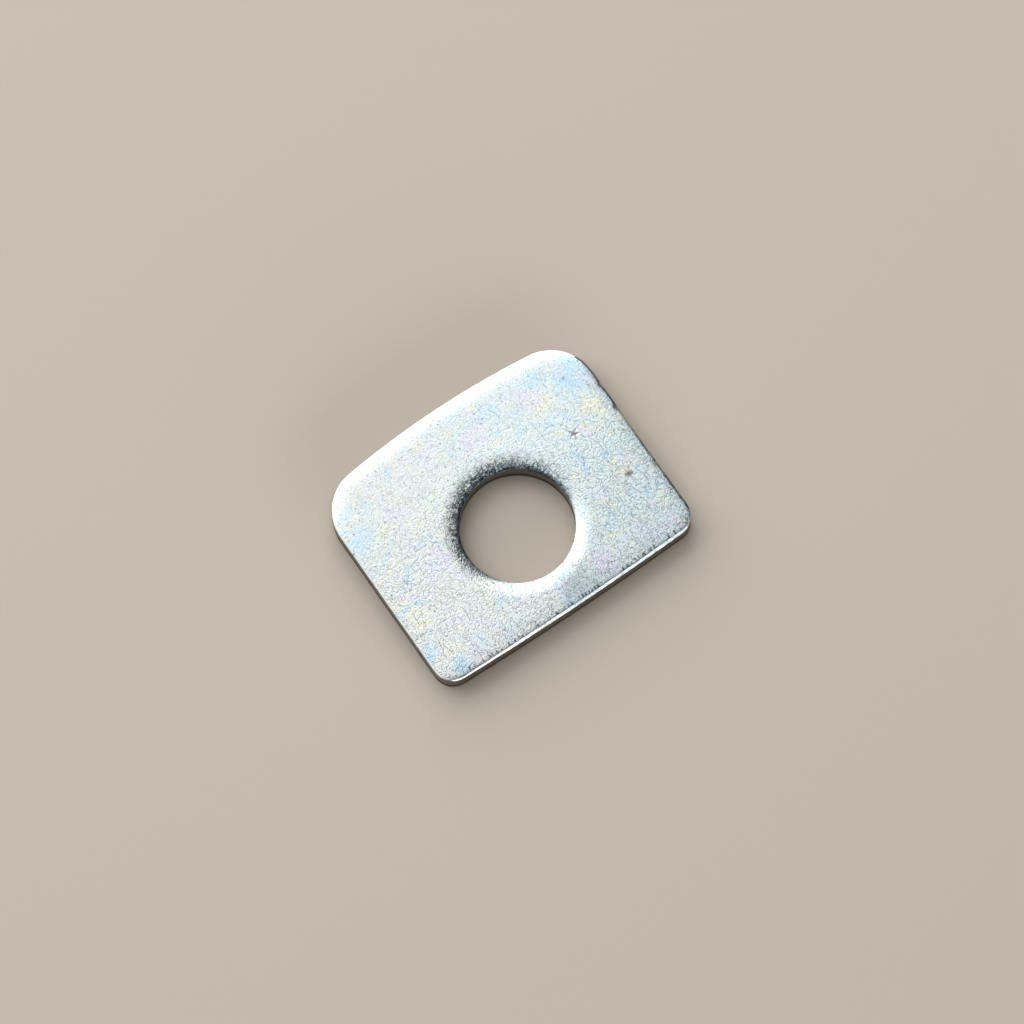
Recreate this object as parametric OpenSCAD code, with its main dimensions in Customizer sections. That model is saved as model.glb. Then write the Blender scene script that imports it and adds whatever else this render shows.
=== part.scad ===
// Plate washer: a stamped steel plate with one bolt hole, three nearly straight
// sides and one curved long side.
//
// Origin: on the hole's axis, at the underside.
// +X runs along the straight long side, +Y points at the curved side and
// +Z leaves the face whose edges were rolled over by the stamping.
// All sizes are in millimetres.

/* [Plate] */
// Length of the plate along its straight long side
plate_w = 27.6; // [24:0.1:34]
// Distance from the hole's centre out to the straight long side
hole_to_front = 9.2; // [8.6:0.1:12]
// Distance from the hole's centre out to the crown of the curved side
hole_to_back = 13.2; // [11:0.1:17]
// Thickness of the steel sheet
sheet_t = 2.5; // [2:0.1:4]

/* [Outline] */
// Radius of the curved long side
back_r = 84; // [40:1:200]
// Radius of the very slight bow of the straight long side
front_r = 350; // [150:10:900]
// Radius of the two corners beside the straight long side
front_corner_r = 2; // [1.6:0.1:4]
// Radius of the two corners beside the curved side
back_corner_r = 4.5; // [2:0.1:6]

/* [Hole] */
// Diameter of the bolt hole
hole_d = 10.5; // [6:0.1:11]

/* [Stamped edges] */
// How far in from the wall the rolled-over edge starts, round the outside
outer_roll_w = 1.1; // [0.7:0.05:1.5]
// Radius of the rolled-over edge in section, round the outside
outer_roll_r = 4.6; // [3:0.1:6]
// How far out from the wall the rolled-over edge starts, round the hole
hole_roll_w = 1.8; // [1:0.05:2]
// Radius of the rolled-over edge in section, round the hole
hole_roll_r = 4; // [2.6:0.1:6]
// Height of the torn part of the outer wall, above the underside
outer_tear_h = 0.8; // [0.3:0.05:1.2]
// Height of the torn part of the hole's wall, above the underside
hole_tear_h = 0.45; // [0.2:0.05:1.2]
// How far the torn part has drawn back from the wall at the underside
tear_in = 0.03; // [0.02:0.01:0.1]

/* [Hidden] */
$fn = 96;

// Overlap that carries a cutting shape clear of the surface it cuts, and an inner
// piece into its neighbour
lap = 1;
// Overlap of a corner with the sides next to it, where the two surfaces are as good
// as one
join = 0.01;
// Longest facet of a long arc
arc_step = 0.5;
// Finer of the two grids by which a point of the plan is approached
grid = 0.001;

half_w = plate_w / 2;

// Centres of the two long arcs, both on the plate's middle line
front_c = [0, front_r - hole_to_front];
back_c = [0, hole_to_back - back_r];

// Centres of the right-hand corner arcs: each is one corner radius in from the
// side, and lies where its arc runs smoothly into the long arc next to it
front_corner = corner_centre(front_c, front_r, front_corner_r, -1);
back_corner = corner_centre(back_c, back_r, back_corner_r, 1);

// Outward directions at which the corner arcs meet the long arcs
front_dir = unit(front_corner - front_c);
back_dir = unit(back_corner - back_c);

// How far the pieces and cells of the rim reach, inwards and outwards: past the
// largest corner radius and the rise of the curved side
strip = max(front_corner_r, back_corner_r) + half_w * half_w / back_r + lap;

// Number of facets in the full circle of a long arc
function arc_fn(r) = ceil(2 * PI * r / arc_step);
function unit(v) = v / norm(v);
function mirrored(p) = [-p.x, p.y];

// Centre of the corner arc of radius r inside the long arc of radius R round c
function corner_centre(c, R, r, side) =
    let (x = half_w - r)
    [x, c.y + side * sqrt((R - r) * (R - r) - x * x)];

// What the stamping takes off a top edge: all that lies above an arc that
// leaves the face smoothly, w in from the wall at x = wall
module roll_cut(wall, w, r) {
    translate([wall - w, sheet_t - r])
        difference() {
            square([w + lap, r + lap]);
            circle(r);
        }
}

// Section through an outer edge, with its wall at x = wall
module edge_section(wall, reach) {
    difference() {
        polygon([
            [wall - reach, 0],
            [wall - tear_in, 0],
            [wall, outer_tear_h],
            [wall, sheet_t],
            [wall - reach, sheet_t]
        ]);
        roll_cut(wall, outer_roll_w, outer_roll_r);
    }
}

// The outer edge carried round an arc about the vertical axis, either side of +X
module arc_edge(r, reach, half_angle) {
    rotate_extrude(angle = 2 * half_angle, start = -half_angle, $fn = arc_fn(r))
        edge_section(r, reach);
}

// Moves a piece to a point p of the plan by whole millimetres, then by grid steps,
// then by the small rest. A short step keeps more digits than a long one, and a
// corner arc has to meet its neighbours exactly
module place(p) {
    whole = [for (v = p) round(v)];
    stepped = [for (v = p - whole) grid * round(v / grid)];
    translate(whole)
        translate(stepped)
            translate(p - whole - stepped)
                children();
}

// Cuts a piece to its own cell of the plate
module cell(points) {
    intersection() {
        children();
        translate([0, 0, -lap])
            linear_extrude(sheet_t + 2 * lap)
                polygon(points);
    }
}

// The strip along a long side, between the centres of its two corner arcs
module long_side(c, r, corner, dir, turn) {
    seam = corner + dir * strip;
    inner = corner - dir * lap;
    cell([inner, seam, mirrored(seam), mirrored(inner)])
        translate([c.x, c.y, 0])
            rotate([0, 0, turn])
                arc_edge(r, strip, asin(half_w / r));
}

// The strip along the right-hand side
module short_side() {
    cell([
        front_corner - [lap, 0],
        [half_w + strip, front_corner.y],
        [half_w + strip, back_corner.y],
        back_corner - [lap, 0]
    ])
        translate([half_w, back_corner.y + lap, 0])
            rotate([90, 0, 0])
                linear_extrude(back_corner.y - front_corner.y + 2 * lap)
                    edge_section(0, strip);
}

// A corner on the right: a slice of a disc that has the same edge
module corner(centre, r, dir) {
    seam = centre + dir * strip;
    inwards = [-join, -sign(dir.y) * join];
    cell([
        centre + inwards,
        [half_w + strip, centre.y] + inwards,
        [half_w + strip, seam.y],
        seam + inwards
    ])
        place(centre)
            rotate_extrude()
                edge_section(r, r);
}

// The two corners and the side on the right
module right_end() {
    short_side();
    corner(front_corner, front_corner_r, front_dir);
    corner(back_corner, back_corner_r, back_dir);
}

// The plate before it is pierced
module blank() {
    linear_extrude(sheet_t)
        polygon([mirrored(front_corner), front_corner, back_corner, mirrored(back_corner)]);
    long_side(front_c, front_r, front_corner, front_dir, -90);
    long_side(back_c, back_r, back_corner, back_dir, 90);
    right_end();
    mirror([1, 0, 0])
        right_end();
}

// What the punch takes out: the straight wall, the rolled-over rim above it and
// the torn wall below it, which opens out towards the underside
module hole_cut() {
    r = hole_d / 2;
    translate([0, 0, -lap])
        cylinder(h = sheet_t + 2 * lap, r = r);
    rotate_extrude()
        polygon([[0, 0], [r + tear_in, 0], [r, hole_tear_h], [0, hole_tear_h]]);
    rotate_extrude()
        mirror([1, 0])
            roll_cut(-r, hole_roll_w, hole_roll_r);
}

module washer() {
    color([0.82, 0.86, 0.88])
        difference() {
            blank();
            hole_cut();
        }
}

washer();
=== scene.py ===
# %% [markdown]
# # A stamped plate washer
# This washer is cut from steel sheet by one stroke of a press and then plated with
# bright zinc. The stroke leaves its marks all round: the top edge is drawn down into
# a soft roll, the wall below it is first wiped smooth and then torn, and the plating
# over it all is a fine crystalline skin with faint blue, yellow and lilac tints.
# The exact solid is loaded first, as a fixed frame. It could simply be given a new
# material, but bright metal shows every facet, so a finer washer is modelled in the
# same place. Lengths are in metres, so the millimetre gets a name of its own.

import math

import bmesh
import bpy
import numpy as np
from mathutils import Matrix, Vector, noise


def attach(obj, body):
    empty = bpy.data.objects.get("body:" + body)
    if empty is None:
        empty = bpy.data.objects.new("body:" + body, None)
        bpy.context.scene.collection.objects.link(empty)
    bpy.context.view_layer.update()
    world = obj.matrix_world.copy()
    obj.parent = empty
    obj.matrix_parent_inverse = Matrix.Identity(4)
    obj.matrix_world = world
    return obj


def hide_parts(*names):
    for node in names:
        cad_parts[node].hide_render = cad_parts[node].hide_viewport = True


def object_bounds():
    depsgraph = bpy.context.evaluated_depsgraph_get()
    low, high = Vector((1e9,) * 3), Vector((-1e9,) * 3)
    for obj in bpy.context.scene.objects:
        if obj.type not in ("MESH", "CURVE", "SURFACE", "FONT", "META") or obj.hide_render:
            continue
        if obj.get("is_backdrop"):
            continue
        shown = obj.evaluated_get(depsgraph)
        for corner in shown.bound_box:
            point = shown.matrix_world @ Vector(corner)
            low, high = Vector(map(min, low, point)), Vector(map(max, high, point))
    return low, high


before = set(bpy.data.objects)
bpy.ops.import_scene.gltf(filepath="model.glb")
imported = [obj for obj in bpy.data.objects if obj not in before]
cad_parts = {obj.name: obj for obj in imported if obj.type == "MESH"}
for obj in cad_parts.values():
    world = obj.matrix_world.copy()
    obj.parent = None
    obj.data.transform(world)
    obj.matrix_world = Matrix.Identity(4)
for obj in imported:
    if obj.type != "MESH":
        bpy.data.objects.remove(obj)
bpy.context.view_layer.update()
MM = 0.001

# %% [markdown]
# ## The sizes
# The outline has two long arcs, of which one is nearly straight, a corner arc at each
# of their ends, and straight short sides. It could be a long list of points, but a
# few radii say the same and stay exact. Every corner arc runs smoothly into the long
# arc beside it, which fixes its centre: both centres and the point where the two arcs
# meet lie on one line.

# %% Sizes of the plate
SHEET = 2.5 * MM
HALF_W = 13.8 * MM
TO_FRONT = 9.2 * MM
TO_BACK = 13.2 * MM
FRONT_R = 350 * MM
BACK_R = 84 * MM
FRONT_CORNER_R = 2 * MM
BACK_CORNER_R = 4.5 * MM
HOLE_R = 5.25 * MM


def corner_centre(long_centre, long_r, corner_r, side):
    """The centre of the right-hand corner arc that runs smoothly into a long arc."""
    x = HALF_W - corner_r
    return Vector((x, long_centre.y + side * math.sqrt((long_r - corner_r) ** 2 - x * x), 0))


def angle_of(v):
    """The direction of a vector in the plan, in degrees from +X."""
    return math.degrees(math.atan2(v.y, v.x))


front_centre = Vector((0, FRONT_R - TO_FRONT, 0))
back_centre = Vector((0, TO_BACK - BACK_R, 0))
front_corner = corner_centre(front_centre, FRONT_R, FRONT_CORNER_R, -1)
back_corner = corner_centre(back_centre, BACK_R, BACK_CORNER_R, 1)
mirrored = Vector((-1, 1, 1))
back_meets = angle_of(back_corner - back_centre)
front_meets = -angle_of(front_corner - front_centre)
side_length = back_corner.y - front_corner.y
print("corner arcs turn through", round(back_meets, 2), "and", round(front_meets, 2), "degrees")

# %% [markdown]
# ## Working in edit mode from code
# By hand, one clicks what the next tool should act on. In code, the same choice is
# made by place: a rule looks at the middle of each vertex, edge or face. Everything
# else is deselected first, because every operator acts on all that is selected. A
# mesh can also be written down as lists of points, but the tools used here are those
# of Blender's own menus, so that each step can be tried out by hand.

# %% Helpers for edit mode
CLOSE = 0.001 * MM
EXACT = 0.0001 * MM


def pick(rule, kind="VERT"):
    """Selects only the vertices, edges or faces whose middle meets the rule."""
    bpy.ops.mesh.select_mode(type=kind)
    bpy.ops.mesh.select_all(action="DESELECT")
    data = bpy.context.edit_object.data
    mesh = bmesh.from_edit_mesh(data)
    found = 0
    for item in {"VERT": mesh.verts, "EDGE": mesh.edges, "FACE": mesh.faces}[kind]:
        if kind == "VERT":
            middle = item.co
        else:
            middle = sum((v.co for v in item.verts), Vector()) / len(item.verts)
        if rule(middle):
            item.select_set(True)
            found += 1
    bmesh.update_edit_mesh(data)
    return found


def near(value, target, within=CLOSE):
    return abs(value - target) < within


def extrude(x=0, y=0, z=0):
    bpy.ops.mesh.extrude_region_move(TRANSFORM_OT_translate={"value": (x, y, z)})


# %% [markdown]
# ## The outline
# A draughtsman draws this outline with a compass, and the spin tool is Blender's
# compass. A curve object could draw it too, but its rounds are only nearly arcs. A
# small plane is merged to a single vertex, and that vertex is spun about each arc's
# centre in turn, and extruded along the two straight sides. The steps are short,
# about an eighth of a millimetre, because the torn wall needs them later. The outline
# is drawn at the height where the smooth part of the wall begins.

# %% Draw the outline
TEAR_H = 0.8 * MM
WELD = 0.002 * MM
SIDE_STEPS, BACK_CORNER_STEPS, BACK_STEPS = 118, 50, 152
FRONT_CORNER_STEPS, FRONT_STEPS = 26, 180
RING = 2 * (SIDE_STEPS + BACK_CORNER_STEPS + FRONT_CORNER_STEPS) + BACK_STEPS + FRONT_STEPS


def spin_arc(centre, degrees, steps):
    """Spins the selected vertex, anticlockwise when seen from above."""
    bpy.ops.mesh.spin(
        steps=steps,
        angle=-math.radians(degrees),
        center=(centre.x, centre.y, TEAR_H),
        axis=(0, 0, 1),
    )


def straight_side(start, length):
    """Extrudes the selected vertex along Y, divides the new edge and selects its end."""
    extrude(y=length)
    pick(lambda m: near(m.x, start.x) and near(m.y, start.y + length / 2), "EDGE")
    bpy.ops.mesh.subdivide(number_cuts=1)
    bpy.ops.mesh.subdivide(number_cuts=SIDE_STEPS // 2 - 1)
    pick(lambda m: near(m.x, start.x) and near(m.y, start.y + length))


bpy.ops.object.select_all(action="DESELECT")
bpy.ops.mesh.primitive_plane_add(size=MM, location=(0, 0, 0))
washer = bpy.context.object
washer.name = washer.data.name = "stamped_washer"
bpy.ops.object.mode_set(mode="EDIT")
bpy.ops.mesh.select_all(action="SELECT")
bpy.ops.mesh.merge(type="CENTER")
bpy.ops.transform.translate(value=(HALF_W, front_corner.y, TEAR_H))
straight_side(Vector((HALF_W, front_corner.y, 0)), side_length)
spin_arc(back_corner, back_meets, BACK_CORNER_STEPS)
spin_arc(back_centre, 2 * (90 - back_meets), BACK_STEPS)
spin_arc(back_corner * mirrored, back_meets, BACK_CORNER_STEPS)
straight_side(Vector((-HALF_W, back_corner.y, 0)), -side_length)
spin_arc(front_corner * mirrored, front_meets, FRONT_CORNER_STEPS)
spin_arc(front_centre, 2 * (90 - front_meets), FRONT_STEPS)
spin_arc(front_corner, front_meets, FRONT_CORNER_STEPS)
bpy.ops.mesh.select_all(action="SELECT")
bpy.ops.mesh.remove_doubles(threshold=WELD)
bpy.ops.mesh.edge_face_add()
outline = bmesh.from_edit_mesh(washer.data)
print("outline:", len(outline.verts), "vertices of", RING, "and", len(outline.faces), "face")

# %% [markdown]
# ## The wall and the rolled-over edge
# When the press cuts the sheet, it first drags the edge down: this is the die roll.
# The upper face begins to sink far in, very gently, and gets ever steeper towards the
# wall. A bevel would round it with one arc, so it is made as a chain of insets, each
# of which draws the top face in a little and lifts it a little. The wall below it is
# the outline extruded upwards. The arris between roll and wall stays sharp for now,
# and no ring lies near it, so that there is room for breaking it later.

# %% Raise the wall and roll the edge
OUTER_ROLL_W = 1.9 * MM
OUTER_DROP = 0.19 * MM
ROLL_POWER = 2.5
ARRIS_ROOM = 0.26 * MM
WALL_STEPS, ROLL_STEPS = 4, 12


def outer_height(inner):
    """Height of the upper face, a distance in from the outer wall."""
    return SHEET - OUTER_DROP * (1 - inner / OUTER_ROLL_W) ** ROLL_POWER


outer_edge = [(0, outer_height(0))]
for i in range(ROLL_STEPS + 1):
    inner = ARRIS_ROOM + (OUTER_ROLL_W - ARRIS_ROOM) * i / ROLL_STEPS
    outer_edge.append((inner, outer_height(inner)))
outer_top = outer_edge[0][1]
pick(lambda m: True, "FACE")
for _ in range(WALL_STEPS):
    extrude(z=(outer_top - TEAR_H) / WALL_STEPS)
for (inner, low), (outer, high) in zip(outer_edge[1:], outer_edge):
    bpy.ops.mesh.inset(thickness=inner - outer, depth=low - high, use_even_offset=True)
bpy.ops.mesh.delete(type="ONLY_FACE")
print("outer wall ends at", round(outer_top / MM, 3), "mm")

# %% [markdown]
# ## The torn part of the wall
# Below the smooth part the steel broke away instead of being cut, and drew back by
# a few hundredths of a millimetre. Scaling the lowest ring would draw back the long
# sides and the corners unequally, so this too is made by insets, from the bottom
# face, and its lowest edge gets a tiny break.

# %% Shape the torn wall
TEAR_IN = 0.03 * MM
TEAR_STEPS = 6
BREAK = 0.02 * MM
bpy.ops.mesh.select_all(action="SELECT")
bpy.ops.mesh.normals_make_consistent(inside=False)
bottoms = pick(lambda m: near(m.z, TEAR_H), "FACE")
for _ in range(TEAR_STEPS):
    bpy.ops.mesh.inset(
        thickness=TEAR_IN / TEAR_STEPS, depth=(TEAR_H - BREAK) / TEAR_STEPS, use_even_offset=True
    )
bpy.ops.mesh.inset(thickness=BREAK, depth=BREAK, use_even_offset=True)
bpy.ops.mesh.delete(type="ONLY_FACE")
print("torn wall:", round(TEAR_H / MM, 2), "mm high, from", bottoms, "bottom face")

# %% [markdown]
# ## The two faces
# Each face is what lies between the outline and the hole. A boolean could cut the
# hole out of a plain face, but it leaves long thin triangles, which shade unevenly.
# So a ring is added for the hole, and the bridge tool joins it to the outline by one
# strip, which its cuts divide into finer rings. The tool tells which way round each
# loop goes by the line between their centres, and that line says nothing when both
# loops are in one plane. The ring is therefore added well away from the face, above
# it or below it, and the bridge is pressed flat afterwards.

# %% Bridge the faces
HOLE_ROLL_W = 1.8 * MM
TORN_OUT = TEAR_IN + BREAK
FACE_CUTS, UNDER_CUTS = 30, 8
LIFT = 5 * MM
ring_turn = math.radians(angle_of(Vector((HALF_W, front_corner.y, 0))) - 90)


def face_with_hole(height, radius, cuts, lift):
    """Joins the open loop at a height to a new ring, and presses the strip flat."""
    bpy.ops.mesh.select_all(action="DESELECT")
    bpy.ops.mesh.primitive_circle_add(
        vertices=RING, radius=radius, location=(0, 0, height + lift), rotation=(0, 0, ring_turn)
    )
    loops = (height, height + lift)
    count = pick(lambda m: any(near(m.z, z, EXACT) for z in loops), "EDGE")
    bpy.ops.mesh.bridge_edge_loops(number_cuts=cuts, interpolation="LINEAR", smoothness=0)
    pick(lambda m: (m.z - height) * lift > 0)
    bpy.ops.transform.resize(value=(1, 1, 0), center_override=(0, 0, height))
    print("bridged", count, "edges at", round(height / MM, 1), "mm")


face_with_hole(SHEET, HOLE_R + HOLE_ROLL_W, FACE_CUTS, LIFT)
face_with_hole(0, HOLE_R + TORN_OUT, UNDER_CUTS, -LIFT)

# %% [markdown]
# ## The hole's edge and wall
# The punch leaves the same zones round the hole. The roll is deeper than the outer
# one, because the narrow slug drags the steel further down. Insets would do here as
# well, but everything is a circle about one axis, so a simpler way is open: the ring
# of the upper face is extruded, scaled and lowered from one point of the edge's
# profile to the next, until it meets the ring of the underside.

# %% Work out the hole's profile
HOLE_TEAR_H = 0.45 * MM
HOLE_ROLL_R = 4.0 * MM
HOLE_EDGE_R = 0.12 * MM
EDGE_W = 0.07 * MM
HOLE_WALL_STEPS, EDGE_STEPS = 8, 5


def hole_height(out):
    """Height of the upper face, a distance out from the hole's wall."""
    return SHEET - HOLE_ROLL_R + math.sqrt(HOLE_ROLL_R**2 - (HOLE_ROLL_W - out) ** 2)


edge_slope = math.asin((HOLE_ROLL_W - EDGE_W) / HOLE_ROLL_R)
edge_out = HOLE_EDGE_R * (1 - math.sin(edge_slope))
edge_turn = math.pi / 2 - edge_slope
hole_edge = []
for i in range(EDGE_STEPS + 1):
    turn = edge_turn * i / EDGE_STEPS
    below = HOLE_EDGE_R * (math.sin(edge_turn) - math.sin(turn))
    hole_edge.append((HOLE_EDGE_R * (1 - math.cos(turn)), hole_height(edge_out) - below))
for i in range(1, ROLL_STEPS + 1):
    out = edge_out + (HOLE_ROLL_W - edge_out) * i / ROLL_STEPS
    hole_edge.append((out, hole_height(out)))
wall_top = hole_edge[0][1]
profile = [(HOLE_R + out, z) for out, z in reversed(hole_edge)]
for i in range(1, HOLE_WALL_STEPS + 1):
    profile.append((HOLE_R, wall_top + (HOLE_TEAR_H - wall_top) * i / HOLE_WALL_STEPS))
for i in range(1, TEAR_STEPS + 1):
    part = i / TEAR_STEPS
    profile.append((HOLE_R + TEAR_IN * part, HOLE_TEAR_H + (BREAK - HOLE_TEAR_H) * part))
profile.append((HOLE_R + TORN_OUT, 0))
print("hole: wall from", round(HOLE_TEAR_H / MM, 2), "to", round(wall_top / MM, 2), "mm")

# %% Pierce the hole
ring_r = HOLE_R + HOLE_ROLL_W
edges = pick(lambda m: near(m.z, SHEET, EXACT) and near(math.hypot(m.x, m.y), ring_r), "EDGE")
for (radius, z), (next_radius, next_z) in zip(profile, profile[1:]):
    extrude(z=next_z - z)
    share = next_radius / radius
    bpy.ops.transform.resize(value=(share, share, 1), center_override=(0, 0, 0))
pick(lambda m: near(m.z, 0) and math.hypot(m.x, m.y) < HOLE_R + 2 * TORN_OUT)
bpy.ops.mesh.remove_doubles(threshold=WELD)
print("hole:", edges, "edges round, in", len(profile) - 1, "rings")

# %% [markdown]
# ## A pit and three nicks
# The upper face has one star-shaped pit, half a millimetre across, and the right-hand
# edge has three small nicks, such as parts get in the barrel in which they are plated.
# A sculptor's brush would do, but its strokes can't be repeated exactly. Here the
# vertices round each spot are pressed down in two or three rounds, fewer each time.
# The faces round the pit are divided first, because the strips between outline and
# hole are too coarse for it.

# %% Press in the pit and the nicks
PIT_X, PIT_Y = 9.06, 4.08
PIT = Vector((PIT_X, PIT_Y, 0)) * MM
ARMS, FIRST_ARM = 5, math.radians(46)
ARM_LONGER = 0.35
PIT_ZONE = 0.8 * MM
PIT_ROUNDS = (0.36 * MM, 0.24 * MM, 0.12 * MM)
PIT_PUSH = (0, 0, -0.025 * MM)
NEAR_FACE = 0.2 * MM
NICKS = (6.6 * MM, 4.0 * MM, -2.2 * MM)
NICK_ROUNDS = (0.32 * MM, 0.16 * MM)
NICK_IN = 0.9
NICK_PUSH = (-0.015 * MM, 0, -0.035 * MM)
NICK_LOWEST = 2 * MM


def pit_reach(m):
    """Distance from the pit's centre, shortened along its five arms."""
    away = Vector((m.x, m.y, 0)) - PIT
    turned = math.atan2(away.y, away.x) - FIRST_ARM
    return away.length * (1 - ARM_LONGER * math.cos(ARMS * turned))


def in_nick(m, nick, reach):
    return m.z > NICK_LOWEST and HALF_W - m.x < NICK_IN * reach and abs(m.y - nick) < reach


pick(lambda m: near(m.z, SHEET) and pit_reach(m) < PIT_ZONE, "FACE")
bpy.ops.mesh.subdivide(number_cuts=3)
pressed = 0
for reach in PIT_ROUNDS:
    pressed += pick(lambda m: m.z > SHEET - NEAR_FACE and pit_reach(m) < reach)
    bpy.ops.transform.translate(value=PIT_PUSH)
for nick in NICKS:
    for reach in NICK_ROUNDS:
        pressed += pick(lambda m: in_nick(m, nick, reach))
        bpy.ops.transform.translate(value=NICK_PUSH)
print("pressed vertices", pressed, "times")

# %% [markdown]
# ## Is it closed?
# A piece that stands for a solid has no gaps: every edge lies between two faces. One
# wrong choice in an earlier step would leave a gap that is easily missed by eye, so
# bmesh counts the open edges. It also works out the volume, which should be close to
# that of the solid, 1262 cubic millimetres.

# %% Check that the washer is closed
bpy.ops.mesh.select_all(action="SELECT")
bpy.ops.mesh.normals_make_consistent(inside=False)
bpy.ops.object.mode_set(mode="OBJECT")


def report_solid(label):
    check = bmesh.new()
    check.from_mesh(washer.data)
    open_edges = sum(not e.is_manifold for e in check.edges)
    volume = round(check.calc_volume() / MM**3, 1)
    print(label, len(check.faces), "faces,", open_edges, "open edges,", volume, "mm3")
    check.free()


report_solid("washer:")

# %% [markdown]
# ## How far a point is from the edge
# The streaks on the rolled edge run across it, so the material has to know how far a
# point is in from the wall and how far along the outline it lies. An unwrapped UV map
# could say so, but it has seams and is never quite even. Both distances are exact when
# they are worked out from the same arcs that drew the outline, one stretch at a time.

# %% Measure along one stretch
OUTSIDE = 0.1 * MM


def arc_run(points, centre, radius, start, sweep, along):
    """How far in from one arc each point lies, and how far along the outline."""
    relative = points - np.array(centre.to_2d())
    turned = (np.degrees(np.arctan2(relative[:, 1], relative[:, 0])) - start) % 360
    depth = radius - np.hypot(relative[:, 0], relative[:, 1])
    depth = np.where((turned <= sweep) & (depth > -OUTSIDE), depth, np.inf)
    return depth, along + np.radians(turned) * radius


def side_run(points, sign, along):
    """The same for the straight side on the right, sign 1, or on the left, sign -1."""
    depth = HALF_W - sign * points[:, 0]
    beside = (points[:, 1] >= front_corner.y) & (points[:, 1] <= back_corner.y)
    start = front_corner.y if sign > 0 else back_corner.y
    return np.where(beside, depth, np.inf), along + sign * (points[:, 1] - start)


# %% [markdown]
# ## The whole outline
# The stretches are walked through in the order in which they were drawn, so that each
# one starts at the length where the last one ended. Of all of them, a point belongs to
# the one that it is nearest to. Deep inside the face the distance no longer matters,
# and is cut off.

# %% Measure along the outline
DEEP = 3 * MM


def outline_places(points):
    """For each point, its depth in from the wall and its distance along the outline."""
    left_side = None
    stretches = [
        (back_corner, BACK_CORNER_R, 0, back_meets),
        (back_centre, BACK_R, back_meets, 180 - 2 * back_meets),
        (back_corner * mirrored, BACK_CORNER_R, 180 - back_meets, back_meets),
        left_side,
        (front_corner * mirrored, FRONT_CORNER_R, 180, front_meets),
        (front_centre, FRONT_R, 180 + front_meets, 180 - 2 * front_meets),
        (front_corner, FRONT_CORNER_R, 360 - front_meets, front_meets),
    ]
    runs = [side_run(points, 1, 0)]
    along = side_length
    for stretch in stretches:
        if stretch is left_side:
            runs.append(side_run(points, -1, along))
            along += side_length
        else:
            centre, radius, start, sweep = stretch
            runs.append(arc_run(points, centre, radius, start, sweep, along))
            along += math.radians(sweep) * radius
    depths = np.array([depth for depth, _ in runs])
    nearest = (depths.argmin(axis=0), np.arange(len(points)))
    length = np.array([run for _, run in runs])[nearest]
    return np.minimum(depths[nearest], DEEP), length, along


def vertex_places():
    flat = np.zeros(len(washer.data.vertices) * 3)
    washer.data.vertices.foreach_get("co", flat)
    return flat.reshape(-1, 3)


print("outline:", round(outline_places(vertex_places()[:, :2])[2] / MM, 2), "mm round")

# %% [markdown]
# ## Breaking the arris
# No two sides of a stamped edge are quite alike. On the straight side the arris is
# broken wide and flat, and less so towards its left-hand end, so it shows as one
# bright line. On the right-hand side it is worn unevenly, and the other two sides are
# nearly sharp. In edit mode each side could be bevelled by itself, but the worn one
# changes all along. The Bevel modifier does them all at once: each edge has a bevel
# weight, which scales the width of its bevel.

# %% Weigh the edges of the arris
# Widths of the break, as shares of the widest
LEAST_BREAK, USUAL_BREAK, STRAIGHT_BREAK = 0.12, 0.2, 0.6
WORN_BREAK, WORN_RAGGED = 0.3, 0.8
RAGGED_PER_MM = 0.9


def fade(values, low, high):
    """0 up to the low value, 1 from the high one on, and smooth between them."""
    share = np.clip((values - low) / (high - low), 0, 1)
    return share * share * (3 - 2 * share)


places = vertex_places()
edge_ends = np.zeros(2 * len(washer.data.edges), dtype=np.int32)
washer.data.edges.foreach_get("vertices", edge_ends)
edge_ends = edge_ends.reshape(-1, 2)
middle = places[edge_ends].mean(axis=1)
on_arris = (np.abs(places[edge_ends][:, :, 2] - outer_top) < CLOSE).all(axis=1)
on_arris &= np.hypot(middle[:, 0], middle[:, 1]) > HOLE_R + HOLE_ROLL_W
x, y = middle[:, 0] / MM, middle[:, 1] / MM
ragged = [noise.noise(Vector((RAGGED_PER_MM * u, RAGGED_PER_MM * v, 0))) for u, v in zip(x, y)]
worn = WORN_BREAK + WORN_RAGGED * np.array(ragged)
# Each share fades in between two places of the plan, in millimetres
straight_share = STRAIGHT_BREAK * fade(-y, 8.5, 9.05) * fade(x, -16, -5)
right_share = worn * fade(x, 12.6, 13.5) * fade(-np.abs(y - 1.5), -10.0, -7.5)
weights = np.clip(USUAL_BREAK + straight_share + right_share, LEAST_BREAK, 1) * on_arris
attribute = washer.data.attributes.new("bevel_weight_edge", "FLOAT", "EDGE")
attribute.data.foreach_set("value", weights.astype(np.float32))
print("arris edges:", on_arris.sum(), "of", len(weights))

# %% Bevel the arris unevenly
BREAK_W = 0.25 * MM


def apply_modifier(name, kind, **settings):
    modifier = washer.modifiers.new(name, kind)
    for key, value in settings.items():
        setattr(modifier, key, value)
    bpy.ops.object.modifier_apply(modifier=name)


apply_modifier("break_arris", "BEVEL", width=BREAK_W, segments=1, limit_method="WEIGHT")
report_solid("with its arris broken:")

# %% [markdown]
# ## Keeping the places on the mesh
# The bevel has made new vertices, so the distances are worked out again for all of
# them and kept as an attribute of the mesh, which a material can read by its name. The
# distance along the outline could be one plain number, but that number would jump
# where the outline closes. It is wound round a cylinder instead, so that a pattern on
# it has no seam.

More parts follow.
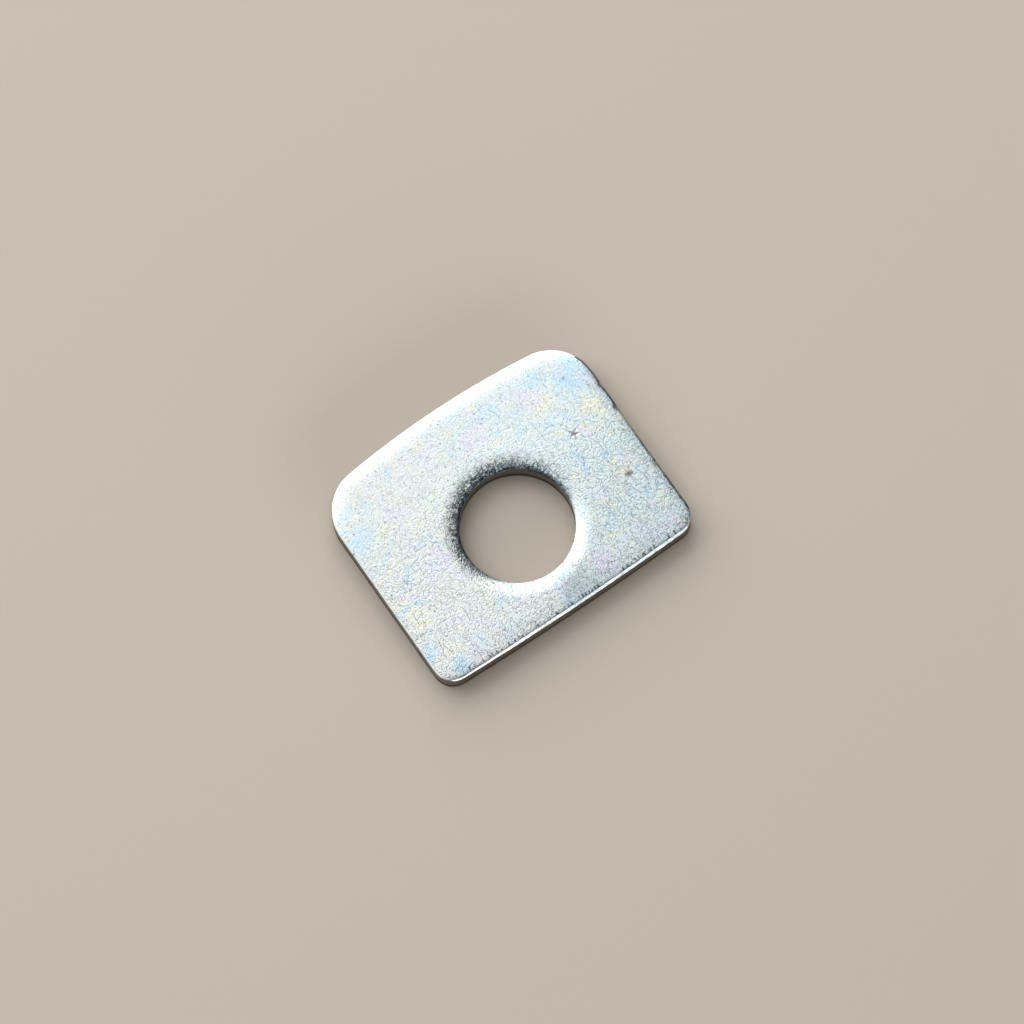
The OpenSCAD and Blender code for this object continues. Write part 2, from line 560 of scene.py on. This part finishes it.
# %% Store each vertex's place along the edge
places = vertex_places()
depth, along, around = outline_places(places[:, :2])
wound = 2 * math.pi * along / around
cylinder_r = around / (2 * math.pi)
rim = np.stack([cylinder_r * np.cos(wound), cylinder_r * np.sin(wound), depth], axis=1)
attribute = washer.data.attributes.new("rim_place", "FLOAT_VECTOR", "POINT")
attribute.data.foreach_set("vector", rim.astype(np.float32).ravel())
print("stored", len(rim), "places, on a cylinder of", round(cylinder_r / MM, 2), "mm radius")

# %% [markdown]
# ## Rough walls
# A wall that was wiped and torn is never quite even. A bump in the material would
# shade it, but its outline would stay as smooth as glass, so the Displace modifier
# moves the surface itself, most of all where it was torn. It only moves it inwards, so
# the washer keeps its size, and a vertex group keeps it off the faces and off the line
# on which the washer rests.

# %% Roughen the walls
WEAR_SIZE, WEAR_DEPTH = 0.6 * MM, 0.08 * MM
WIPED_SHARE = 0.25
LEAST_WEIGHT = 0.001


def add_weights(name, weights):
    group = washer.vertex_groups.new(name=name)
    for index in np.flatnonzero(weights > LEAST_WEIGHT):
        group.add([int(index)], float(weights[index]), "REPLACE")


x, y, z = (places / MM).T
hole_mm = np.hypot(x, y) - HOLE_R / MM
# All that lies less than a tenth of a millimetre in from a wall counts as wall
on_walls = fade(-depth / MM, -0.25, -0.1) + fade(-hole_mm, -0.25, -0.1)
torn_share = WIPED_SHARE + (1 - WIPED_SHARE) * fade(-z, -0.9, -0.6)
add_weights("worn_wall", np.minimum(on_walls, 1) * torn_share * fade(z, 0.02, 0.1))
wear = bpy.data.textures.new("wear", "CLOUDS")
wear.noise_scale, wear.noise_depth = WEAR_SIZE, 2
apply_modifier(
    "roughen", "DISPLACE", texture=wear, texture_coords="LOCAL", direction="NORMAL",
    mid_level=1.0, strength=WEAR_DEPTH, vertex_group="worn_wall",
)
report_solid("with rough walls:")

# %% [markdown]
# ## Shader maths in plain Python
# A material could be wired up by hand in the shader editor, but a pattern such as one
# minus a mask is easier to read as an expression. This class wraps an output socket,
# and each operator used on it adds the Math node it stands for.


# %% Nodes from expressions
class Wire:
    """An output socket on which Python's operators add Math nodes."""

    def __init__(self, tree, socket):
        self.tree, self.socket = tree, socket

    def math(self, operation, *values, swapped=False):
        inputs = dict(enumerate((*values, self) if swapped else (self, *values)))
        return self.tree.node("ShaderNodeMath", {"operation": operation}, inputs)

    def __add__(self, other):
        return self.math("ADD", other)

    def __sub__(self, other):
        return self.math("SUBTRACT", other)

    def __rsub__(self, other):
        return self.math("SUBTRACT", other, swapped=True)

    def __mul__(self, other):
        return self.math("MULTIPLY", other)

    def __pow__(self, other):
        return self.math("POWER", other)

    __radd__, __rmul__ = __add__, __mul__

    def __abs__(self):
        return self.math("ABSOLUTE")


# %% [markdown]
# ## One method for every other node
# All other nodes come from one method, which takes the node's type, its own settings
# and what goes into its sockets. The few kinds that the finishes use again and again
# get a short name each, in the words of someone who describes a surface.


# %% A tree of nodes
class Tree:
    """A node tree, to which one method adds any node."""

    def __init__(self, owner):
        owner.use_nodes = True
        self.nodes, self.links = owner.node_tree.nodes, owner.node_tree.links
        self.nodes.clear()

    def node(self, kind, settings=None, inputs=None, out=0):
        made = self.nodes.new(kind)
        for name, value in (settings or {}).items():
            setattr(made, name, value)
        for key, value in (inputs or {}).items():
            if isinstance(value, Wire):
                self.links.new(value.socket, made.inputs[key])
            else:
                made.inputs[key].default_value = value
        return Wire(self, made.outputs[out]) if made.outputs else None

    def noise(self, place, scale, detail=1.0, roughness=0.5, distortion=0.0):
        """Soft noise around a half. Its scale is in features per unit of the place."""
        inputs = {"Vector": place, "Scale": scale, "Detail": detail}
        inputs.update({"Roughness": roughness, "Distortion": distortion})
        return self.node("ShaderNodeTexNoise", {}, inputs)

    def step(self, value, low, high, start=0.0, end=1.0):
        """A smooth step from start, where value is low, to end, where it is high."""
        settings = {"interpolation_type": "SMOOTHSTEP"}
        inputs = {"Value": value, "From Min": low, "From Max": high}
        inputs.update({"To Min": start, "To Max": end})
        return self.node("ShaderNodeMapRange", settings, inputs)

    def blend(self, share, first, second, how="MIX"):
        """Mixes two colours."""
        settings = {"data_type": "RGBA", "blend_type": how}
        return self.node("ShaderNodeMix", settings, {0: share, 6: first, 7: second}, out=2)

    def place(self, attribute=None, scale=(1, 1, 1), shift=(0, 0, 0)):
        """Object coordinates, or a vector attribute, scaled and shifted."""
        if attribute:
            source = self.node("ShaderNodeAttribute", {"attribute_name": attribute}, {}, out="Vector")
        else:
            source = self.node("ShaderNodeTexCoord", {}, {}, out="Object")
        inputs = {"Vector": source, "Scale": scale, "Location": shift}
        return self.node("ShaderNodeMapping", {}, inputs)

    def axis(self, place, name):
        """One coordinate of a place."""
        return self.node("ShaderNodeSeparateXYZ", {}, {0: place}, out=name)

    def vector(self, operation, *values, scale=None, out="Vector"):
        """Any vector operation."""
        inputs = dict(enumerate(values))
        if scale is not None:
            inputs["Scale"] = scale
        return self.node("ShaderNodeVectorMath", {"operation": operation}, inputs, out=out)

    def near_spot(self, place, x, y, radius, uneven=0.0):
        """1 at a spot of the plan, in millimetres, falling to 0 at a radius round it."""
        flat = self.vector("MULTIPLY", place, (1, 1, 0))
        away = self.vector("DISTANCE", flat, (x, y, 0), out="Value")
        return self.step(away + uneven, 0, radius, 1, 0)


# %% [markdown]
# ## Where things are on the plating
# All patterns are built from noise on the washer's own coordinates, in millimetres. A
# picture could be laid over it instead, but it would have a fixed sharpness and blur
# up close. Some patterns also need to know how far a point is from the outer wall and
# from the hole, because the rolled edges look different from the flat face. The
# streaks and the marks belong to the upper face alone, which gets a mask of its own.

# %% Places on the plating
PER_MM = 1 / MM
IN_MM = (PER_MM, PER_MM, PER_MM)
zinc_material = bpy.data.materials.new("bright_zinc_plating")
zinc = Tree(zinc_material)
spot = zinc.place(scale=IN_MM)
plan = zinc.vector("MULTIPLY", spot, (1, 1, 0))
plan_x = zinc.axis(spot, "X")
plan_y = zinc.axis(spot, "Y")
upper = zinc.step(zinc.axis(spot, "Z"), 1.0, 2.0)
hole_away = zinc.vector("LENGTH", plan, out="Value")
rim_place = zinc.place("rim_place", scale=IN_MM)
rim_depth = zinc.axis(rim_place, "Z")
on_hole_roll = zinc.step(hole_away, 5.5, 7.0, 1, 0)
print("places:", len(zinc.nodes), "nodes")

# %% [markdown]
# ## The crystalline grain
# Electroplated zinc grows in crystals, which look like tiny worms with winding hollows
# between them. Plain noise has only soft blots, but its contour lines wind like those
# on a map, so the hollows are laid along them: a coarse set at every quarter of the
# noise's range, and a fine set at the half. Soft flecks lie between them, and here and
# there a pore.

# %% Grain
WINDING = 0.9
COARSE_PER_MM, FINE_PER_MM, FLECKS_PER_MM, PORES_PER_MM = 1.8, 4.0, 6.0, 5.5
COARSE_LINES, FINE_LINES = 4.0, 2.0
elsewhere = zinc.place(scale=IN_MM, shift=(17, 3, 0))
pore_place = zinc.place(scale=IN_MM, shift=(2, 71, 0))


def contours(place, scale, lines, width):
    """1 on contour lines of the noise, so many to its range, falling to 0 beside them."""
    value = zinc.noise(place, scale, 0.0, 0.5, WINDING)
    folded = (lines * value).math("PINGPONG", 0.5)
    return zinc.step(folded, 0, width, 1, 0)


hollows = contours(spot, COARSE_PER_MM, COARSE_LINES, 0.22)
fine_hollows = contours(elsewhere, FINE_PER_MM, FINE_LINES, 0.17)
flecks = zinc.noise(spot, FLECKS_PER_MM)
pores = zinc.step(zinc.noise(pore_place, PORES_PER_MM, 0.0), 0.745, 0.80)
print("with the grain:", len(zinc.nodes), "nodes")

# %% [markdown]
# ## Streaks across the rolled edges
# Where the steel was drawn over the edge, the skin is pulled out into short dark
# dashes across it. They show on the side that leans away from the light, which is the
# straight side, and on the far half of the hole's roll. They are soft noise on
# coordinates that are squeezed along the edge, which makes each blot several times
# longer than it is wide. Round the hole the same is done by direction and distance.

# %% Streaks
DASHES_ALONG, DASHES_ACROSS = 6 * PER_MM, 0.9 * PER_MM
ROUND_HOLE, OUT_FROM_HOLE = 26.0, 1.8
across_outer = zinc.place("rim_place", scale=(DASHES_ALONG, DASHES_ALONG, DASHES_ACROSS))
outer_streaks = zinc.step(zinc.noise(across_outer, 1.0, 0.0), 0.52, 0.62)
around_hole = zinc.vector("SCALE", zinc.vector("NORMALIZE", plan), scale=ROUND_HOLE)
outwards = zinc.node("ShaderNodeCombineXYZ", {}, {2: OUT_FROM_HOLE * hole_away})
hole_streaks = zinc.noise(zinc.vector("ADD", around_hole, outwards), 1.0, 1.0, 0.6)
near_side = upper * zinc.step(plan_y, -8.0, -8.5)
past_arris = zinc.step(rim_depth, 0.18, 0.24)
dash_band = zinc.step(rim_depth + 0.6 * flecks, 0.7, 1.0, 1, 0) * past_arris
here_and_there = zinc.step(zinc.noise(rim_place, 1.0), 0.3, 0.5)
dashes = outer_streaks * dash_band * near_side * here_and_there
# The drawn band gets calmer grain, and painted light that brightens it between the dashes
drawn_band_and_painted_light = near_side * past_arris * zinc.step(rim_depth, 0.6, 1.0, 1, 0)
far_half = upper * zinc.step(plan_y - 0.15 * plan_x, -2.0, 2.0)
hole_dashes = zinc.step(hole_streaks, 0.46, 0.60) * on_hole_roll * far_half
print("with the streaks:", len(zinc.nodes), "nodes")

# %% [markdown]
# ## Faint interference tints
# The clear film that seals the zinc is thinner than a wavelength of light, and its
# thickness drifts, which tints it pale blue, straw yellow and lilac in soft patches.
# Blender can work out such colours from a film's thickness, but then they also change
# with the viewing angle and are hard to place, so they are painted: patches that drift
# with a soft noise, and a few at chosen places. Under them the whole face turns a
# little cooler from left to right.

# %% Tints
WARM = (0.732, 0.772, 0.757, 1)
COOL = (0.695, 0.80, 0.808, 1)
BLUE = (0.57, 0.765, 0.905, 1)
STRAW = (0.81, 0.83, 0.70, 1)
LILAC = (0.75, 0.75, 0.855, 1)
PATCH_STRENGTH, DRIFT_STRENGTH = 0.8, 0.6


def drift(shift, scale):
    """Soft patches, nowhere at full strength."""
    value = zinc.noise(zinc.place(scale=IN_MM, shift=(*shift, 0)), scale, 2.0, 0.6, 0.8)
    return zinc.step(value, 0.44, 0.74, 0, DRIFT_STRENGTH)


ragged_border = 2.4 * zinc.noise(spot, 1.1, 2.0, 0.6, 0.8) - 1.2
colour = zinc.blend(zinc.step(plan_x, -10, 10), WARM, COOL)
blue_patches = (
    (-12.2, 6.6, 2.0), (-13.2, -5.5, 1.2), (-11.4, -7.9, 1.6), (12.0, 8.9, 3.0), (8.7, 9.9, 1.8),
)
straw_patches = (
    (7.9, 8.0, 2.2), (12.0, 5.5, 1.8), (-12.2, -2.3, 1.6), (-11.6, -6.2, 1.2), (10.8, -0.9, 1.6),
)
lilac_patches = (
    (1.0, 9.0, 2.0), (-7.6, 0.9, 2.2), (4.9, -7.3, 2.0), (-9.3, -7.5, 1.6),
    (-11.6, -3.85, 0.7), (-10.4, -4.15, 0.9), (-9.2, -4.45, 0.8),
)
for tint, shift, scale, patches in (
    (BLUE, (0, 0), 0.42, blue_patches),
    (STRAW, (31, 7), 0.55, straw_patches),
    (LILAC, (5, 53), 0.45, lilac_patches),
):
    share = drift(shift, scale)
    for x, y, radius in patches:
        share = share + PATCH_STRENGTH * zinc.near_spot(spot, x, y, radius, ragged_border)
    colour = zinc.blend(zinc.step(share, 0, 1), colour, tint)
print("with the tints:", len(zinc.nodes), "nodes")

# %% [markdown]
# ## Light and dark
# The hollows, the pores and the streaks are darker than the crystals. Towards the
# right-hand end of the straight side, where less light falls, the face gets painted
# shade, with darker hollows in it. There is a darker cloud between that side and the
# hole, and the far half of the hole has a painted dark line round its rim, which
# stands for the dark that its steep roll mirrors from the near side. All that could
# be left to bump and light alone, but hollows this fine trap light in a way that a
# bump can't show, so they are also given less colour. The darker a place is, the
# bluer it gets: red and blue have a power of their own.

# %% Shade
# Shares of darkening; the shares weighted by the lower-right mask are painted shade
HOLLOW_DARK, HOLLOW_DARK_IN_SHADE = 0.10, 0.10
FINE_DARK, FINE_DARK_IN_SHADE = 0.03, 0.06
FLECK_DARK, PORE_DARK, PAINTED_SHADE_DARK, CLOUD_DARK = 0.10, 0.35, 0.14, 0.2
DASH_DARK, HOLE_DASH_DARK, RIM_PAINTED_SHADE = 0.7, 0.45, 0.8
DRAWN_BAND_PAINTED_LIGHT = 0.2
RED_POWER, BLUE_POWER = 1.1, 0.92
# Painted shade towards the lower right, where less light falls
painted_shade_lower_right = zinc.step(plan_x - 1.2 * plan_y, -6, 24)
# Painted shade: a dark line on the far half of the rim, for the dark its roll mirrors
painted_dark_rim = far_half * zinc.step(hole_away + 0.4 * flecks, 5.5, 5.95, 1, 0)
cloud = upper * zinc.near_spot(spot, 1.5, -7.4, 3.5, ragged_border)
shade = 1.0 + FLECK_DARK * (flecks - 0.5) - (HOLLOW_DARK + HOLLOW_DARK_IN_SHADE * painted_shade_lower_right) * hollows
shade = shade - (FINE_DARK + FINE_DARK_IN_SHADE * painted_shade_lower_right) * fine_hollows - PORE_DARK * pores
# Painted shade towards the lower right, and painted light on the drawn band
shade = shade * (1 - PAINTED_SHADE_DARK * painted_shade_lower_right) * (1 + DRAWN_BAND_PAINTED_LIGHT * drawn_band_and_painted_light)
shade = shade * (1 - DASH_DARK * dashes) * (1 - HOLE_DASH_DARK * hole_dashes)
shade = shade * (1 - RIM_PAINTED_SHADE * painted_dark_rim) * (1 - CLOUD_DARK * cloud)
parts = {0: shade**RED_POWER, 1: shade, 2: shade**BLUE_POWER}
grey = zinc.node("ShaderNodeCombineColor", {}, parts)
colour = zinc.blend(1.0, colour, grey, "MULTIPLY")
print("with light and dark:", len(zinc.nodes), "nodes")

# %% [markdown]
# ## Spots and scratches
# The face has a brown stain with a darker streak through it, a few dark spots, two
# thin scratches, a line at which two tints meet, and dark arms that run out from the
# pit. They could be painted on by hand, but a spot needs only a place and a radius,
# and a line only its two ends, in millimetres of the plan.

# %% Spots
STAIN = (0.20, 0.17, 0.14, 1)
ragged_mark = 0.5 * flecks - 0.25
spots = (
    (11.05, -1.76, 0.42, 0.9),
    (12.0, 0.73, 0.13, 0.6),
    (11.17, 9.02, 0.16, 0.8),
    (-1.16, 12.20, 0.14, 0.6),
    (-13.64, 6.13, 0.14, 0.8),
    (-9.73, 12.32, 0.12, 0.6),
    (-10.98, -4.95, 0.13, 0.7),
    (-8.46, -6.00, 0.12, 0.6),
    (PIT_X, PIT_Y, 0.22, 0.8),
)
for x, y, radius, most in spots:
    mark = upper * zinc.near_spot(spot, x, y, radius, ragged_mark)
    colour = zinc.blend(most * mark, colour, STAIN)
print("marks:", len(spots), "spots")

# %% Scratches and the pit's arms
TAPER = 0.7
ARM_REACH = (0.5, 0.65, 0.75, 0.55, 0.25)
ARM_WIDTH, ARM_DARK = 0.08, 0.35


def near_line(place, start, end, width):
    """1 on the line between two points of the plan, falling to 0 beside it."""
    start, end = Vector((*start, 0)), Vector((*end, 0))
    run = (end - start).normalized()
    relative = zinc.vector("SUBTRACT", place, tuple(start))
    along = zinc.vector("DOT_PRODUCT", relative, tuple(run), out="Value")
    beside = zinc.vector("DOT_PRODUCT", relative, (-run.y, run.x, 0), out="Value")
    half = (end - start).length / 2
    inside = zinc.step(abs(along - half), half * TAPER, half, 1, 0)
    return zinc.step(abs(beside), 0, width, 1, 0) * inside


stain_streak = ((10.55, -1.64), (11.45, -1.84), 0.26, 0.7)
long_scratch = ((-11.84, -4.58), (-12.27, -6.81), 0.09, 0.4)
short_scratch = ((-11.81, -5.33), (-11.40, -6.80), 0.09, 0.4)
tint_border = ((-13.50, -3.35), (-11.60, -3.90), 0.09, 0.4)
lines = [stain_streak, long_scratch, short_scratch, tint_border]
centre = PIT.to_2d() / MM
for arm, reach in enumerate(ARM_REACH):
    along_arm = Matrix.Rotation(FIRST_ARM + arm * 2 * math.pi / ARMS, 2) @ Vector((1, 0))
    lines.append((centre, centre + reach * along_arm, ARM_WIDTH, ARM_DARK))
for start, end, width, most in lines:
    mark = upper * near_line(spot, start, end, width)
    colour = zinc.blend(most * mark, colour, STAIN)
print("marks:", len(lines), "lines")

# %% [markdown]
# ## The plating as a metal
# Bare metal shows nothing but what it mirrors, so the shader is fully metallic and
# the colours above only tint its reflections. The crystals are too small to model,
# hundreds to the square centimetre, so a bump turns the reflections instead. The grain
# is calmer towards the curved side and on the arris, where it is worn.

# %% Plating material
BUMP_DEPTH = 0.014 * MM
SMOOTHEST, FLECK_ROUGH = 0.17, 0.10
# Heights of the grain, as shares of the bump's depth
FLECK_HIGH, FINE_DEEP, DASH_DEEP, HOLE_DASH_DEEP = 0.5, 0.35, 0.35, 0.6
height = FLECK_HIGH * flecks - hollows - FINE_DEEP * fine_hollows - pores
white_band = zinc.step(rim_depth, 0.8, 2.4, 1, 0) * zinc.step(plan_y, 7, 10)
calm = zinc.step(plan_y, 1, 8, 1, 0.65) * (1 - 0.4 * white_band)
# On the hole's roll the grain is rougher on the far half and calmer on the near one
drawn = 1 + on_hole_roll * (1.5 * far_half - 0.6)
worn_arris = zinc.step(rim_depth, 0.16, 0.24, 1, 0)
height = height * calm * drawn * (1 - 0.8 * worn_arris) * (1 - 0.5 * drawn_band_and_painted_light)
height = height - DASH_DEEP * dashes - HOLE_DASH_DEEP * hole_dashes
bump = zinc.node(
    "ShaderNodeBump", {}, {"Height": height, "Strength": 1.0, "Distance": BUMP_DEPTH}
)
roughness = SMOOTHEST + FLECK_ROUGH * flecks
shader = zinc.node(
    "ShaderNodeBsdfPrincipled", {},
    {"Base Color": colour, "Metallic": 1.0, "Roughness": roughness, "Normal": bump},
)
zinc.node("ShaderNodeOutputMaterial", {}, {"Surface": shader})
print("plating:", len(zinc.nodes), "nodes")

# %% [markdown]
# ## The sheared wall
# The wall is plated too, but it is not the same metal surface. Its upper part was
# wiped against the die, which leaves it smooth with fine upright scratches. Its lower
# part was torn, so it is matt and dull. Both parts get a dark brown colour, which is
# painted reflection of the shaded floor that the wall mirrors, and the torn part is
# darker still, partly for its own rough surface and partly as painted shade near the
# floor. Two materials could meet at a line between the faces, but the real line
# wanders, so one material holds both and mixes them by height with some noise on it.

# %% Wall material
# Dark brown: painted reflection of the shaded floor; the torn colours are also painted shade
WIPED_DARK, WIPED_LIGHT = (0.13, 0.11, 0.09, 1), (0.25, 0.22, 0.19, 1)
TORN_DARK, TORN_LIGHT = (0.05, 0.04, 0.03, 1), (0.18, 0.15, 0.12, 1)
SCRATCHES_ALONG, SCRATCHES_UP = 9 * PER_MM, 0.6 * PER_MM
WALL_BUMP_DEPTH = 0.03 * MM
WIPED_ROUGH, TORN_ROUGHER = 0.34, 0.26
wall_material = bpy.data.materials.new("sheared_steel_wall")
wall = Tree(wall_material)
wall_spot = wall.place(scale=IN_MM)
upright_place = wall.place(scale=(SCRATCHES_ALONG, SCRATCHES_ALONG, SCRATCHES_UP))
upright = wall.noise(upright_place, 1.0, 2.0, 0.6)
crumbs = wall.noise(wall_spot, 5.0, 3.0, 0.65)
wander = wall.noise(wall_spot, 0.9, 2.0, 0.6)
torn = wall.step(wall.axis(wall_spot, "Z") + 0.6 * wander, 0.95, 1.15, 1, 0)
wiped_colour = wall.blend(upright, WIPED_DARK, WIPED_LIGHT)
torn_colour = wall.blend(crumbs, TORN_DARK, TORN_LIGHT)
wall_height = torn * crumbs + (1 - torn) * 0.25 * upright
wall_bump = wall.node(
    "ShaderNodeBump", {}, {"Height": wall_height, "Strength": 1.0, "Distance": WALL_BUMP_DEPTH}
)
shader = wall.node(
    "ShaderNodeBsdfPrincipled", {},
    {
        "Base Color": wall.blend(torn, wiped_colour, torn_colour),
        "Metallic": 1.0,
        "Roughness": WIPED_ROUGH + TORN_ROUGHER * torn,
        "Normal": wall_bump,
    },
)
wall.node("ShaderNodeOutputMaterial", {}, {"Surface": shader})
print("wall:", len(wall.nodes), "nodes")

# %% [markdown]
# ## Two finishes on one piece
# The washer stays one closed mesh, and each of its faces says which of the two
# materials it has. The faces of the walls are chosen by their height, as before. The
# broken arris above the outer wall keeps the bright plating. Smooth shading hides the
# facets, and edges that turn by more than thirty degrees stay hard.

# %% Put both finishes on
ABOVE_UNDERSIDE, BELOW_ARRIS = 0.005 * MM, 0.13 * MM
HARD_ANGLE = math.radians(30)
washer.data.materials.append(zinc_material)
washer.data.materials.append(wall_material)
bpy.ops.object.select_all(action="DESELECT")
washer.select_set(True)
bpy.context.view_layer.objects.active = washer
bpy.ops.object.mode_set(mode="EDIT")


def on_wall(m):
    in_hole = math.hypot(m.x, m.y) < HOLE_R + HOLE_ROLL_W
    return ABOVE_UNDERSIDE < m.z < (wall_top if in_hole else outer_top - BELOW_ARRIS)


walls = pick(on_wall, "FACE")
washer.active_material_index = 1
bpy.ops.object.material_slot_assign()
bpy.ops.object.mode_set(mode="OBJECT")
bpy.ops.object.shade_smooth_by_angle(angle=HARD_ANGLE)
print("wall faces:", walls)

# %% [markdown]
# ## A soft shading for the worn side
# On the right-hand side the broken arris is worn round. More bevel segments would
# round it as well, but the worn band is only a tenth or two of a millimetre wide, so
# it is enough to make its hard edges soft again.

# %% Soften the right-hand arris
WORN_X, WORN_Y, WORN_DEPTH = 13.3 * MM, -7.5 * MM, 0.3 * MM
bpy.ops.object.mode_set(mode="EDIT")
soft = pick(lambda m: m.x > WORN_X and m.z > outer_top - WORN_DEPTH and m.y > WORN_Y, "EDGE")
bpy.ops.mesh.mark_sharp(clear=True)
bpy.ops.object.mode_set(mode="OBJECT")
print("softened edges:", soft)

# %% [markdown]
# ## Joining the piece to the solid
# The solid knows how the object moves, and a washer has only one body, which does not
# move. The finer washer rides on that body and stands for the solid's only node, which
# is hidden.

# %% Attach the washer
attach(washer, "root")
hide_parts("washer")
print("the piece", washer.name, "stands for the solid")

# %% [markdown]
# ## The floor
# The washer lies on a plain pale surface. It is slightly warm, because the walls of
# the plate mirror what they stand on. A curved backdrop would hide the end of a small
# floor, but one large plane is simpler, and from above its end is out of view.

# %% Floor
FLOOR_SIZE = 4
PALE = (0.74, 0.66, 0.56, 1)
bpy.ops.mesh.primitive_plane_add(size=FLOOR_SIZE, location=(0, 0, 0))
floor = bpy.context.object
floor.name = "floor"
floor_material = bpy.data.materials.new("plain_pale_floor")
ground = Tree(floor_material)
shader = ground.node(
    "ShaderNodeBsdfPrincipled", {},
    {"Base Color": PALE, "Roughness": 0.8, "Specular IOR Level": 0.2},
)
ground.node("ShaderNodeOutputMaterial", {}, {"Surface": shader})
floor.data.materials.append(floor_material)
floor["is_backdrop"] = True
print("floor:", FLOOR_SIZE, "m wide")

# %% [markdown]
# ## The light
# Metal shows what is round it, so the light is laid out as a photographer would. One
# soft box overhead lights the face, and a brighter and larger one behind the curved
# side turns the edges that lean that way white. The near side stays dark but for a
# narrow dim box, so the edges that lean towards it turn dark, and a low box there
# draws the bright line along the broken arris. A picture of a room as the world's
# background is the usual short cut, but lamps can be moved one by one.

# %% Lamps and world
LAMP_DISTANCE = 0.7
# Power of each square metre of lamp, for a strength of one
POWER_PER_AREA = 4
SKY, SKY_STRENGTH = (0.9, 0.95, 1.0, 1), 0.06


def soft_box(name, azimuth, zenith, size, strength):
    """A rectangular lamp that faces the washer and looks equally bright at any size."""
    data = bpy.data.lights.new(name, "AREA")
    data.shape, data.size, data.size_y = "RECTANGLE", *size
    data.energy = strength * POWER_PER_AREA * size[0] * size[1]
    lamp = bpy.data.objects.new(name, data)
    bpy.context.scene.collection.objects.link(lamp)
    a, z = math.radians(azimuth), math.radians(zenith)
    out = Vector((math.cos(a) * math.sin(z), math.sin(a) * math.sin(z), math.cos(z)))
    across = Vector((-math.sin(a), math.cos(a), 0))
    lamp.matrix_world = Matrix((across, out.cross(across), out)).transposed().to_4x4()
    lamp.location = out * LAMP_DISTANCE
    lamp.visible_camera = False


soft_box("top_soft_box", 94, 10, (0.875, 0.41), 0.81)
soft_box("back_soft_box", 92, 53, (1.25, 0.74), 1.45)
soft_box("low_soft_box", -92, 79, (0.9, 0.26), 3.2)
soft_box("front_soft_box", -88, 10.5, (0.875, 0.12), 0.33)
world = bpy.data.worlds.new("studio")
bpy.context.scene.world = world
air = Tree(world)
shader = air.node("ShaderNodeBackground", {}, {"Color": SKY, "Strength": SKY_STRENGTH})
air.node("ShaderNodeOutputWorld", {}, {"Surface": shader})

# %% [markdown]
# ## The camera
# The photo was taken from nearly overhead with a long lens. The azimuth, height and
# roll come from fitting the outline and both rims of the hole, and the tiny shift
# puts the washer where it is in the frame. A Track To constraint could aim the camera,
# but would keep it level, and this one is rolled by three degrees, so its own three
# axes are worked out instead.

# %% Camera
AZIMUTH, ELEVATION, ROLL = (math.radians(v) for v in (-31.15, 75.11, -3.24))
DISTANCE, LENS, SENSOR, FRAME = 771.9 * MM, 300, 36, 1024
OFFSET_X, OFFSET_Y = 5.6, 19.9
back = Vector((
    math.sin(AZIMUTH) * math.cos(ELEVATION),
    -math.cos(AZIMUTH) * math.cos(ELEVATION),
    math.sin(ELEVATION),
))
level = Vector((math.cos(AZIMUTH), math.sin(AZIMUTH), 0))
upward = back.cross(level)
right = level * math.cos(ROLL) + upward * math.sin(ROLL)
up = upward * math.cos(ROLL) - level * math.sin(ROLL)
lens = bpy.data.cameras.new("camera")
lens.lens, lens.sensor_width, lens.sensor_fit = LENS, SENSOR, "AUTO"
lens.shift_x, lens.shift_y = -OFFSET_X / FRAME, OFFSET_Y / FRAME
camera = bpy.data.objects.new("camera", lens)
turned = Matrix((right, up, back)).transposed().to_4x4()
camera.matrix_world = Matrix.Translation(back * DISTANCE) @ turned
bpy.context.scene.collection.objects.link(camera)
bpy.context.scene.camera = camera
bpy.context.scene.view_settings.view_transform = "Standard"
print("camera:", round(DISTANCE / MM), "mm away, with a lens of", LENS, "mm")

# %% [markdown]
# ## The washer's box
# The finer washer has to stay inside the solid's box, because the solid is what others
# measure and fit to. The washer's box is printed, in millimetres.

# %% The washer's box
low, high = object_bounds()
print("washer's box in mm:", [round(v / MM, 3) for v in (*low, *high)])
